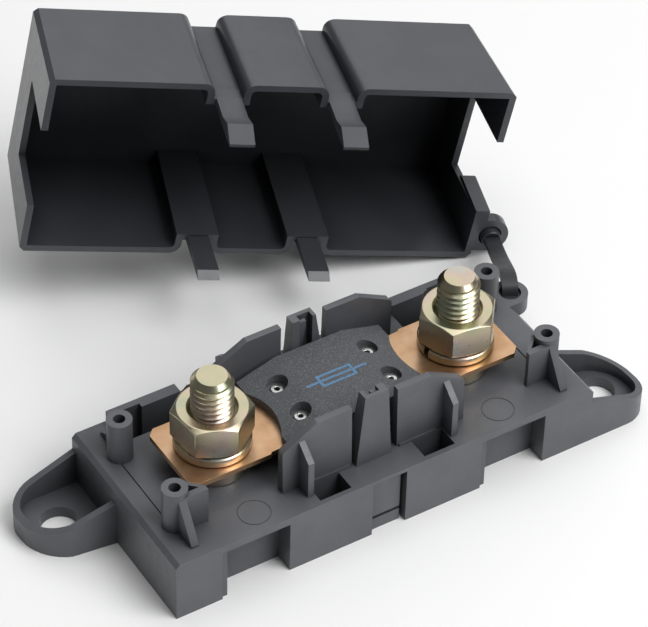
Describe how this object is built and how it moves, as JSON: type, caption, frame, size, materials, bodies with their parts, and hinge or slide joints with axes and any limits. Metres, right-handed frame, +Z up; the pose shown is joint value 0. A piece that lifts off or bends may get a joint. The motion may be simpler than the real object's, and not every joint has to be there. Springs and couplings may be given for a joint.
{
  "type": "fuse box panel",
  "caption": "Bolt-down holder with a high-current strip fuse between two threaded terminals, drilled ears for screws and a clip-on cover on a tether.",
  "frame": {"origin": "centre of the flat underside of the base", "axes": "+X along the base towards the end that carries the tether, +Y towards the cover, +Z up"},
  "size_m": [0.1239, 0.1051, 0.0559],
  "materials": {
    "base_plastic": "charcoal glass-filled moulding, fine satin grain",
    "cover_plastic": "charcoal moulding, satin outside and smoother inside",
    "tether_plastic": "near-black flexible moulding",
    "fuse_plastic": "dark speckled thermoset, rough",
    "fuse_copper": "bare copper alloy, satin",
    "zinc_steel": "steel with yellow zinc plating",
    "rivet_metal": "bright plated"
  },
  "bodies": {
    "base": {"base_housing": "base_plastic", "stud_left": "zinc_steel", "stud_right": "zinc_steel", "lock_washer_left": "zinc_steel", "lock_washer_right": "zinc_steel", "fuse_conductor": "fuse_copper", "fuse_body_upper": "fuse_plastic", "fuse_body_lower": "fuse_plastic", "fuse_rivet_1": "rivet_metal", "fuse_rivet_2": "rivet_metal", "fuse_rivet_3": "rivet_metal", "fuse_rivet_4": "rivet_metal"},
    "nut_left": {"nut_left": "zinc_steel"},
    "nut_right": {"nut_right": "zinc_steel"},
    "tether": {"tether_strap": "tether_plastic"},
    "cover": {"cover_shell": "cover_plastic"}
  },
  "joints": [
    {"name": "nut_left_turn", "type": "hinge", "parent": "base", "child": "nut_left", "pos_m": [-0.0254, 0, 0.0236], "axis": [0, 0, 1], "continuous": true},
    {"name": "nut_right_turn", "type": "hinge", "parent": "base", "child": "nut_right", "pos_m": [0.0254, 0, 0.0236], "axis": [0, 0, 1], "continuous": true},
    {"name": "tether_swing", "type": "hinge", "parent": "base", "child": "tether", "pos_m": [0.045, 0.0108, 0.0115], "axis": [0, 0, 1], "range_deg": [-90, 20]},
    {"name": "cover_lift", "type": "hinge", "parent": "tether", "child": "cover", "pos_m": [0.05667, 0.03477, 0.00498], "axis": [0.3192, 0.9476, -0.0142], "range_deg": [0, 75]}
  ]
}
